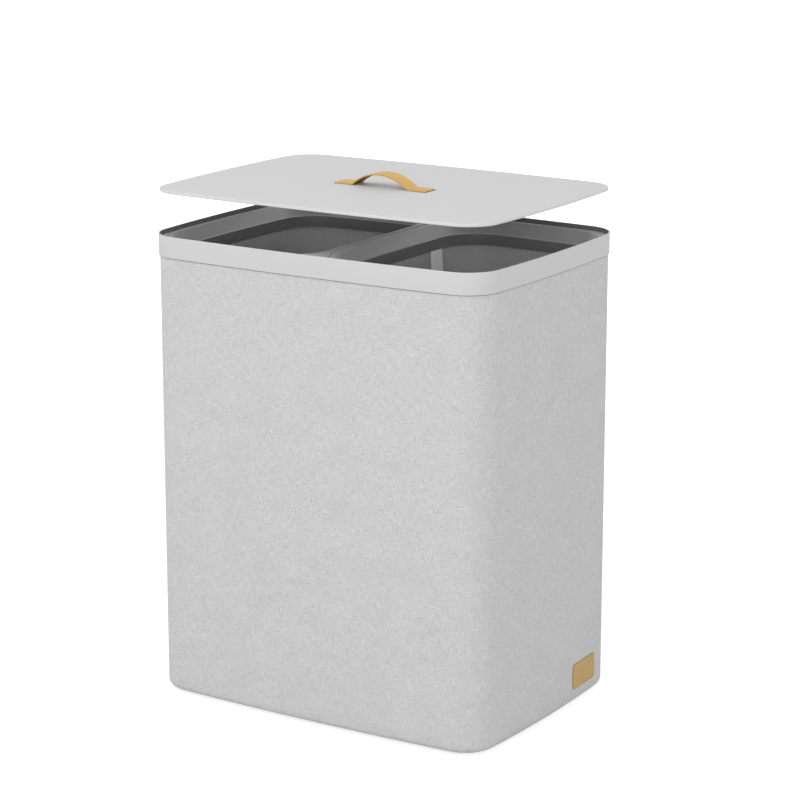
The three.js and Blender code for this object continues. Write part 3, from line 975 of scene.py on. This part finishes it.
def on_back(local):
    """Carries (aside, height, out) on to the cover's bowed back."""
    radius = back_side[1] - rim_proud
    angle = quarter_turn + local[..., 0] / radius
    return wrapped(back_side, angle, radius + local[..., 2], local[..., 1])


def make_back_seam():
    """The cover's lapped joint in the middle of the back: its free edge, sewn down with two rows."""
    low = cover_low.z + cover_round
    high = cover_high.z - cloth_thickness
    edge = seam_thickness * seam_edge_share
    section = box_plan(seam_width / 2, -seam_thickness / 2, seam_thickness, edge)
    aside, out = section["points"].T
    z = np.linspace(low, high, seam_rings)[:, None]
    grid = np.stack(np.broadcast_arrays(aside[None], z, out[None]), axis=-1)
    seam = skin("cover_back_seam", on_back(grid), section["run"], sharp=60)
    fitted(seam, "hamper", cover_cloth, [])
    z = np.arange(low + stitch_pitch, high - stitch_pitch, stitch_pitch)
    rows = [
        np.column_stack([np.full(len(z), aside), z, np.full(len(z), seam_thickness)])
        for aside in (-seam_width / 4, seam_width / 4)
    ]
    places = on_back(np.concatenate(rows))
    up = np.broadcast_to([0.0, 0.0, 1.0], places.shape)
    out = np.broadcast_to([0.0, 1.0, 0.0], places.shape)
    thread = stitches("cover_seam_stitches", places, up, out, stitch_length, stitch_radius)
    fitted(thread, "hamper", thread_grey, [])
    return [seam, thread]


def make_wall_board():
    """The stiff sleeve that the cover is glued round."""
    bottom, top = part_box("wall_board")
    edge = board_thickness * board_edge_share
    corners = upright(board_inset, board_thickness, bottom.z, top.z, edge, edge)
    board = lofted("wall_board_sleeve", hamper_plan, corners)
    fitted(board, "hamper", grey_board, ["wall_board"])


# Glides, rivets and label


def turned(name, radius, corners, closed=False):
    """A turned piece: a profile of (inset, height, round) carried round a circle."""
    return lofted(name, round_plan(radius), corners, closed)


def placed(piece, place, toward=None):
    """Moves a piece's mesh to a place, with its own +Z turned to a level direction if one is given."""
    co = np.empty(len(piece.data.vertices) * 3, np.float32)
    piece.data.vertices.foreach_get("co", co)
    co = co.reshape(-1, 3)
    if toward is not None:
        side = np.array([-toward[1], toward[0], 0.0])
        axes = np.array([side, [0.0, 0.0, 1.0], [toward[0], toward[1], 0.0]])
        co = co @ axes
    piece.data.vertices.foreach_set("co", (co + np.array(place)).astype(np.float32).ravel())
    piece.data.update()
    return piece


def make_glides():
    """A turned nylon glide for each of the four feet, with its nail in the base board."""
    for name in ("glide_front_left", "glide_front_right", "glide_back_left", "glide_back_right"):
        bottom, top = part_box(name)
        radius = (top.x - bottom.x) / 2
        corners = [
            (radius - glide_pole, 0, 0),
            (0, 0, glide_sole_round),
            (0, glide_height, glide_top_round),
            (radius - nail_radius, glide_height, 0),
            (radius - nail_radius, top.z - nail_taper, nail_round),
            (radius - nail_point, top.z, 0),
        ]
        x, y, _ = middle_of(name)
        glide = placed(turned(name + "_turned", radius, corners), (x, y, bottom.z))
        fitted(glide, "hamper", grey_nylon, [name])


def on_side(side, angle, inset):
    """A point on a bowed side at an angle about its centre, with the outward direction there."""
    out = np.array([math.cos(angle), math.sin(angle)])
    return side[0] + (side[1] - inset) * out, out


def make_rivets():
    """Push rivets with domed heads on the inside of the skirt, their shanks through the board."""
    reach = skirt_inset + skirt_wall - board_inset
    dome = -rivet_head_height - rivet_gap
    corners = [
        (rivet_head - rivet_pole, dome, 0),
        (rivet_head * rivet_dome_share, dome, rivet_dome_round),
        (0, -rivet_gap, rivet_rim_round),
        (rivet_head - rivet_shank, -rivet_gap, 0),
        (rivet_head - rivet_shank, reach, rivet_end_round),
        (rivet_head - rivet_pole, reach, 0),
    ]
    for name, side, facing, aside in (
        ("right", right_side, 0, 0),
        ("left", left_side, 2, 0),
        ("back_right", back_side, 1, -1),
        ("back_left", back_side, 1, 1),
        ("front_right", front_side, -1, 1),
        ("front_left", front_side, -1, -1),
    ):
        angle = facing * quarter_turn + math.asin(rivet_spread / side[1]) * aside
        place, out = on_side(side, angle, skirt_inset + skirt_wall)
        z = middle_of("rim_rivet_" + name)[2]
        rivet = placed(turned("push_rivet_" + name, rivet_head, corners), (*place, z), out)
        fitted(rivet, "hamper", grey_nylon, ["rim_rivet_" + name])


def make_label():
    """The bare leather label: a plate with round corners, bent to the right side, its edge pressed down."""
    bottom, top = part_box("leather_label")
    _, middle_y, middle_z = middle_of("leather_label")
    half_height = (top.z - bottom.z) / 2
    plan = box_plan(label_width / 2, -half_height, half_height, label_round)
    crown = label_thickness * label_crown_share
    corners = [
        (0, -label_sunk, 0),
        (0, label_thickness, label_edge),
        (label_pressed, crown, 0),
        (label_flat, crown, 0),
    ]
    profile = filled(rounded(corners, closed=False), label_ring_spacing)[0]
    rings = loft(plan, profile)
    rings = np.concatenate([rings, closing_rings(rings[-1], label_rings)])
    burnish = np.exp(-((np.maximum(profile[:, 0], 0) / burnish_width) ** 2)) * burnish_share
    edge = np.concatenate([burnish, np.zeros(label_rings)])
    radius = right_side[1] - rim_proud
    angle = math.asin(middle_y / radius) + rings[..., 0] / radius
    bent = wrapped(right_side, angle, radius + rings[..., 2], middle_z + rings[..., 1])
    label = skin("label_leather_bare", bent, plan["run"], edge)
    fitted(label, "hamper", label_leather, ["leather_label"])


# Bins

step_z = lip_z - funnel_drop
bag_low, bag_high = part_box("right_bin_bag")
bag_top = bag_high.z - bag_cloth
bag_floor = bag_low.z + bag_cloth
hem_seam_z = bag_top - hem_height + seam_rise


def make_collar(side, facing):
    """The lip, the sloping wall, the small step and the upright band, with every moulded edge rounded."""
    band_inner = band_inset - collar_wall
    corners = [
        (0, shelf_z, step_edge),
        (0, lip_z, lip_edge),
        (lip_top, lip_z, funnel_round),
        (band_inset - band_step, step_z, step_edge * step_upper_share),
        (band_inset, step_z, step_edge),
        (band_inset, collar_low.z, band_foot_round),
        (band_inner, collar_low.z, band_foot_round),
        (band_inner, step_z - collar_knee, collar_knee_round),
        (lip_bearing + lip_root, shelf_z, funnel_round),
    ]
    collar = lofted(f"{side}_bin_collar_moulding", bin_plan, corners, facing=facing)
    # The band below the step gets painted shade.
    mark_painted_shade(collar, rounded(corners)[0][:, 1] < step_z - step_edge / 2)
    fitted(collar, f"{side}_bin", collar_plastic, [f"{side}_bin_collar"])


def bag_folds(run, total, height, seed):
    """How far the cloth moves out, by place round the bag and height.

    The ripples are sine waves that close round the bag, and the creases are narrow valleys where their sum
    is zero. A sine of the height fades both out towards the hem and the foot.
    """
    draw = np.random.default_rng(seed)
    share = np.clip((height - bag_low.z) / (bag_high.z - bag_low.z), 0, 1)
    window = np.sin(math.pi * share) ** 0.7
    ripple = np.zeros(np.broadcast(run, height).shape)
    for _ in range(fold_waves):
        turns = draw.integers(2, 13)
        rise = draw.uniform(-fold_lean, fold_lean)
        phase = draw.uniform(0, full_turn)
        size = draw.uniform(0.4, 1.0) / turns**0.5
        ripple = ripple + size * np.sin(full_turn * turns * run / total + rise * height + phase)
    crease = -np.exp(-((ripple / crease_share) ** 2))
    return window * (ripple_depth * ripple + crease_depth * crease)


def bag_profile():
    """Across the floor, round the bottom edge, up the wall, over the hoop and down to the hem's seam."""
    corners = [
        (floor_reach, bag_floor, 0),
        (bag_inset + bag_taper, bag_floor, bag_round),
        (bag_inset, hem_seam_z - seam_spread, fold_round),
        (seam_inset, hem_seam_z, seam_round),
        (bag_inset, hem_seam_z + seam_spread, fold_round),
        (bag_inset, bag_top, fold_round),
        (hem_inset, bag_top, fold_round),
        (hem_inset, hem_seam_z + seam_spread, hem_round),
        (seam_inset - bag_cloth, hem_seam_z, 0),
    ]
    return filled(rounded(corners, closed=False), bag_ring_spacing)[0]


def make_bag(side, facing, seed):
    """A sewn cloth bag that hangs from its hoop and stands on its base panel.

    The wall is moved by its folds and drawn in by a waist, waist_depth sin(pi share)^0.8 where it is slack.
    """
    profile = bag_profile()
    rings = loft(bag_plan, profile)
    height = rings[..., 2]
    is_wall = (profile[:, 0] > bag_inset - wall_tolerance) & (profile[:, 1] > bag_floor + floor_tolerance)
    move = bag_folds(bag_plan["run"][:-1][None], bag_plan["run"][-1], height, seed)
    near_top = np.clip((bag_top - taut_below_hem - height) / taut_to_slack, 0, 1)
    near_foot = np.clip((height - bag_floor) / taut_above_floor, 0, 1)
    share = np.clip((height - bag_floor) / (bag_top - bag_floor), 0, 1)
    waist = -waist_depth * np.sin(math.pi * share) ** 0.8 * bag_plan["slack"][None]
    move = (move + waist) * near_top * near_foot * is_wall[:, None]
    rings[..., :2] += bag_plan["out"][None] * move[..., None]
    rings = facing_to(np.concatenate([closing_rings(rings[0], floor_rings)[::-1], rings]), facing)
    bag = skin(f"{side}_bin_sewn_bag", rings, bag_plan["run"], caps=False, sharp=70)
    close_floor(bag, rings.shape[1])
    wall = bag.modifiers.new("cloth", "SOLIDIFY")
    wall.thickness = bag_cloth
    wall.offset = 0
    return fitted(
        bag, f"{side}_bin", lining_cloth, [f"{side}_bin_bag", f"{side}_bin_bag_floor"]
    )


def close_floor(bag, count):
    """Fills the small opening left in the middle of the floor, inside the first ring of points."""
    with opened(bag.data) as built:
        built.verts.ensure_lookup_table()
        built.faces.new([built.verts[i] for i in range(count)[::-1]])
        bmesh.ops.recalc_face_normals(built, faces=built.faces)
    bag.data.shade_smooth()


def declare_bag(sewn_on):
    """Works out the bag's profile, and nothing more."""
    profile = bag_profile()


def make_hoop(side, facing):
    """The steel hoop inside the hem, which clamps the bag to the collar's band."""
    bottom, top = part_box(f"{side}_bin_hoop")
    edge = hoop_thickness * hoop_edge_share
    corners = upright(hoop_inset, hoop_thickness, bottom.z, top.z, edge, edge)
    hoop = lofted(f"{side}_bin_hoop_strip", bin_plan, corners, facing=facing)
    fitted(hoop, f"{side}_bin", zinc_steel, [f"{side}_bin_hoop"])


def make_base_panel(side, facing):
    """The stiff panel on the bag's floor."""
    bottom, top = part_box(f"{side}_bin_base")
    inset = bag_inset - bag_cloth / 2 + bag_taper + bag_round
    corners = plate(inset, bottom.z + panel_lift, top.z, panel_low_edge, panel_high_edge)
    panel = lofted(f"{side}_bin_base_panel", bin_plan, corners, closed=False, facing=facing)
    fitted(panel, f"{side}_bin", grey_board, [f"{side}_bin_base"])


def make_binding(side, facing):
    """The round binding sewn over the bag's bottom seam."""
    inset = bag_inset + bag_taper + bag_round * binding_share - bag_cloth
    z = bag_low.z + bag_round * binding_share
    ring = np.array([inset, z]) + round_plan(binding_radius, binding_points)["points"]
    points = facing_to(loft(bag_plan, ring), facing)
    binding = skin(f"{side}_bin_seam_binding", points, bag_plan["run"], hoop=True, sharp=80)
    return fitted(binding, f"{side}_bin", lining_cloth, [])


def make_hem_stitches(side, facing):
    """One row of stitches round the hem, just above the fold of the hoop's channel."""
    flat = bag_plan["points"] - bag_plan["out"] * (hem_inset - bag_cloth / 2 - hem_stitch_sunk)
    run = bag_plan["run"]
    count = int(run[-1] / hem_stitch_pitch)
    at = np.arange(count) / count * run[-1]
    loop = np.concatenate([flat, flat[:1]])
    outs = np.concatenate([bag_plan["out"], bag_plan["out"][:1]])
    z = np.full(count, hem_seam_z + seam_spread)
    place = np.column_stack([np.interp(at, run, loop[:, 0]), np.interp(at, run, loop[:, 1]), z])
    out = np.column_stack([np.interp(at, run, outs[:, 0]), np.interp(at, run, outs[:, 1]), np.zeros(count)])
    out /= np.linalg.norm(out, axis=1)[:, None]
    along = np.column_stack([-out[:, 1], out[:, 0], out[:, 2]])
    place, out, along = (facing_to(vectors, facing) for vectors in (place, out, along))
    length = hem_stitch_pitch * hem_stitch_share
    thread = stitches(f"{side}_bin_hem_stitches", place, along, out, length, hem_stitch_radius)
    return fitted(thread, f"{side}_bin", thread_grey, [])


def make_care_label(side, facing):
    """A bare ribbon tab that hangs inside the bag: straight at its seam, then curling away from the wall.

    It leaves the wall by curl t^2.2 and its middle cups by a sine, with t from 0 at the seam to 1.
    """
    name = f"{side}_bin_care_label"
    bottom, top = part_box(name)
    length = top.z - bottom.z
    angle = math.pi + math.asin(-middle_of("right_bin_care_label")[1] / divider_side[1])
    half = ribbon_thickness / 2
    plan = box_plan(ribbon_width / 2, -half, half, ribbon_thickness * ribbon_edge_share)
    across, through = plan["points"].T[:, None]
    t = np.linspace(0, 1, ribbon_rings)[:, None]
    curl = ribbon_curl * t**2.2 + ribbon_cup * np.sin(across / ribbon_width * math.pi + 1.0) * t
    reach_in = bag_inset + ribbon_gap + ribbon_lean * t + curl + through
    around = angle + (across + ribbon_drift * t) / divider_side[1]
    rings = wrapped(divider_side, around, divider_side[1] - reach_in, top.z - length * t)
    edge = np.zeros(ribbon_rings)
    edge[-2:] = (0.5, 1.0)
    tab = skin(f"{name}_ribbon", facing_to(rings, facing), plan["run"], edge)
    fitted(tab, f"{side}_bin", white_ribbon, [name])


# Lid and strap

lid_low, lid_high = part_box("lid_panel")
strap_low, strap_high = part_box("lid_strap")


def make_lid():
    """A flat moulded panel on the rim's plan, drawn in to clear its wall, with both edges rounded."""
    profile, edge = rounded(plate(lid_inset, lid_low.z, lid_high.z, lid_edge, lid_edge), closed=False)
    rings = loft(hamper_plan, profile)
    under, over = (closing_rings(ring, plate_rings) for ring in (rings[0], rings[-1]))
    rings = np.concatenate([under[::-1], rings, over])
    flat = np.zeros(plate_rings)
    lid = skin("lid_moulding", rings, hamper_plan["run"], np.concatenate([flat, edge, flat]))
    fitted(lid, "lid", lid_plastic, ["lid_panel"])


def arc(centre, reach, angles):
    """Points centre + reach (-sin, cos) in x and z, each with its upward direction (-sin, cos)."""
    up = np.column_stack([-np.sin(angles), np.cos(angles)])
    return np.column_stack([centre + reach * up, up])


def strap_path():
    """The strap's middle line in x and z, and its upward directions: flat, fold, arch, fold and flat."""
    half = strap_thickness / 2
    arch_rise = strap_high.z - strap_low.z - strap_thickness
    both_radii = (strap_span**2 / arch_rise + arch_rise) / 2
    arch_radius = both_radii - strap_fold
    lean = math.asin(strap_span / both_radii)
    end_x = -np.linspace(strap_high.x, strap_span, strap_end_rings)
    end = np.column_stack(np.broadcast_arrays(end_x, half, 0.0, 1.0))
    fold = arc([-strap_span, strap_fold], half - strap_fold, np.linspace(0, lean, strap_fold_rings))
    arch = arc([0, arch_rise - arch_radius], arch_radius + half, np.linspace(lean, -lean, strap_arch_rings))
    left = np.concatenate([end, fold[1:]])
    path = np.concatenate([left, arch[1:], left[::-1][1:] * [-1, 1, -1, 1]])
    return path[:, :2], path[:, 2:]


def strap_section(half_width, half):
    """The strap's section, a flat box with round edges and points added along its top."""
    section = box_plan(half_width, -half, half, strap_edge)["points"]
    corner = np.array([half_width - strap_edge, half])
    share = 1 - 2 * np.linspace(0, 1, strap_top_points + 2)[1:-1]
    top_row = np.column_stack([share * corner[0], np.full(len(share), half)])
    nearest = np.argmin(np.linalg.norm(section - corner, axis=1))
    return np.insert(section, nearest + 1, top_row, axis=0)


def make_strap():
    """The leather strap: its section carried along its path, with slightly wavy sides and round ends."""
    places, ups = strap_path()
    half_width = (strap_high.y - strap_low.y) / 2
    half = strap_thickness / 2
    across, through = strap_section(half_width, half).T
    run = np.concatenate([[0], np.cumsum(np.linalg.norm(np.diff(places, axis=0), axis=1))])
    from_end = np.minimum(run, run[-1] - run)
    shrink = np.sqrt(np.clip(1 - (1 - np.clip(from_end / strap_edge, 0, 1)) ** 2, 0, 1))
    inward = strap_edge * (1 - shrink)[:, None]
    wavy = strap_wave * np.sin(run * strap_wave_rate) + strap_sway * np.sin(run * strap_sway_rate + 1)
    y = across[None] * (1 - inward / half_width) + wavy[:, None]
    lift = through[None] * (1 - inward / half)
    x = places[:, :1] + ups[:, :1] * lift
    z = strap_low.z + places[:, 1:] + ups[:, 1:] * lift
    side_cut = np.exp(-(((half_width - np.abs(across)) / strap_cut_width) ** 2))
    end_cut = np.exp(-((from_end / strap_end_width) ** 2))
    edge = np.maximum(side_cut[None], end_cut[:, None]) * strap_cut_share
    strap = skin("strap_leather_band", np.stack([x, y, z], axis=-1), edge=edge, sharp=60)
    # Marks the strap's underside for painted shade.
    mark(strap.data, "underside_shade", np.broadcast_to(through < -half * strap_flesh_share, x.shape))
    fitted(strap, "lid", strap_leather, ["lid_strap"])


def make_washer(end):
    """A flat washer with its bore."""
    name = f"strap_washer_{end}"
    bottom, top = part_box(name)
    radius, height = (top.x - bottom.x) / 2, top.z - bottom.z
    corners = [
        (0, 0, washer_edge),
        (0, height, washer_top_edge),
        (radius - bolt_radius, height, washer_edge),
        (radius - bolt_radius, 0, washer_edge),
    ]
    x, y, _ = middle_of(name)
    washer = placed(turned(f"plain_washer_{end}", radius, corners, closed=True), (x, y, bottom.z))
    fitted(washer, "lid", zinc_steel, [name])


def make_nut(end):
    """A hexagon nut with both faces chamfered and its bore."""
    name = f"strap_nut_{end}"
    bottom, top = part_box(name)
    reach, height = (top.x - bottom.x) / 2, top.z - bottom.z
    plan = polygon_plan(directions(np.arange(6) * full_turn / 6) * reach, nut_corner)
    flat = reach * math.cos(full_turn / 12)
    chamfer, chamfer_height = flat * nut_chamfer_shares[0], height * nut_chamfer_shares[1]
    corners = [
        (flat - bolt_radius, 0, 0),
        (chamfer, 0, nut_edge),
        (0, chamfer_height, nut_edge),
        (0, height - chamfer_height, nut_edge),
        (chamfer, height, nut_edge),
        (flat - bolt_radius, height, 0),
    ]
    x, y, _ = middle_of(name)
    nut = placed(lofted(f"hexagon_nut_{end}", plan, corners), (x, y, bottom.z))
    fitted(nut, "lid", zinc_steel, [name])


def make_fasteners():
    """Under each end of the strap: a stud plate let into the lid, and below the lid a washer and a nut."""
    for end in ("left", "right"):
        make_washer(end)
        make_nut(end)
        finished(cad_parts[f"strap_plate_{end}"], zinc_steel)


# Studio

white = (1, 1, 1, 1)
floor_radius = 9.0
floor_hub = 0.1
floor_depth = 0.01
glow_reach = 3.0
glow_near = 0.72
horizon_light = 1.42
zenith_light = 0.62


def cleared(owner):
    """Empties the nodes of a material or a world and returns a function that adds to them."""
    owner.use_nodes = True
    owner.node_tree.nodes.clear()
    return node_maker(owner.node_tree)


def seen_directly(add):
    """1 for what the camera sees, also by way of gloss or glass, and 0 for what lights the object."""
    path = add("LightPath").outputs
    seen = maths(add, "MAXIMUM", path["Is Camera Ray"], path["Is Glossy Ray"])
    return maths(add, "MAXIMUM", seen, path["Is Transmission Ray"])


def make_floor():
    """A wide pale disc. The camera sees it nearly white, with the hamper's soft shadow kept."""
    hub = floor_radius - floor_hub
    corners = [(hub, -floor_depth, 0), (0, -floor_depth, 0), (0, 0, 0), (hub, 0, 0)]
    floor = turned("studio_floor", floor_radius, corners)
    material = bpy.data.materials.new("studio_floor")
    add = cleared(material)
    bounce = add("BsdfDiffuse", {"Color": (0.70, 0.70, 0.70, 1)}).outputs[0]
    shaded = add("BsdfDiffuse", {"Color": (0.40, 0.40, 0.40, 1)}).outputs[0]
    reach = add("VectorMath", {0: place_on(add)}, operation="LENGTH").outputs["Value"]
    rise = spread(add, reach, 0.0, glow_reach, glow_near, 1.0)
    glow = add("Emission", {"Color": white, "Strength": rise}).outputs[0]
    both = add("AddShader", {0: shaded, 1: glow}).outputs[0]
    surface = add("MixShader", {0: seen_directly(add), 1: bounce, 2: both}).outputs[0]
    add("OutputMaterial", {"Surface": surface})
    floor.data.materials.append(material)


def make_world():
    """Light that fades from the horizon to the zenith; the camera, gloss and glass see plain white."""
    world = bpy.data.worlds.new("studio_world")
    bpy.context.scene.world = world
    add = cleared(world)
    direction = add("TexCoord").outputs["Generated"]
    upward = add("SeparateXYZ", {"Vector": direction}).outputs["Z"]
    strength = spread(add, upward, 0.0, 1.0, horizon_light, zenith_light)
    sky = add("Background", {"Color": white, "Strength": strength}).outputs[0]
    plain = add("Background", {"Color": white, "Strength": 1.0}).outputs[0]
    surface = add("MixShader", {0: seen_directly(add), 1: sky, 2: plain}).outputs[0]
    add("OutputWorld", {"Surface": surface})


def soft_box(name, place, aim, width, height, power):
    """A rectangular area lamp at a place, turned to face a point."""
    light = bpy.data.lights.new(name, "AREA")
    light.shape = "RECTANGLE"
    light.size = width
    light.size_y = height
    light.energy = power
    lamp = bpy.data.objects.new(name, light)
    lamp.location = place
    x, y, z = np.array(aim, float) - np.array(place, float)
    lamp.rotation_euler = (math.atan2(math.hypot(x, y), -z), 0, math.atan2(y, x) - quarter_turn)
    bpy.context.scene.collection.objects.link(lamp)


camera_place = (1.829, -2.853, 1.237)
camera_pitch = math.radians(14.13)
camera_turn = math.radians(32.33)
camera_focal_pixels = 2735
picture_pixels = 800
sensor_width = 36


def make_camera():
    """The photograph's three-quarter view from a little above the lid."""
    data = bpy.data.cameras.new("studio_camera")
    data.sensor_width = sensor_width
    data.lens = camera_focal_pixels * sensor_width / picture_pixels
    camera = bpy.data.objects.new("studio_camera", data)
    camera.location = camera_place
    camera.rotation_euler = (quarter_turn - camera_pitch, 0, camera_turn)
    bpy.context.scene.collection.objects.link(camera)
    bpy.context.scene.camera = camera


make_camera()
make_world()
soft_box("key", (-0.5, -1.9, 3.4), (0, 0, 0.6), 1.4, 1.4, 26)
soft_box("low", (2.0, -4.3, 1.75), (0, 0, 0.62), 2.4, 0.8, 50)
make_floor()
bpy.context.scene.view_settings.view_transform = "Standard"

make_rim()
make_cover()
make_wall_board()
make_glides()
make_rivets()
make_label()
for side, facing, seed in (("right", 1, 3), ("left", -1, 8)):
    make_collar(side, facing)
    bag = make_bag(side, facing, seed)
    make_hoop(side, facing)
    make_base_panel(side, facing)
    declare_bag([make_binding(side, facing), make_hem_stitches(side, facing)])
    make_care_label(side, facing)
make_lid()
make_strap()
make_fasteners()
finished(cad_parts["base_board"], grey_board)
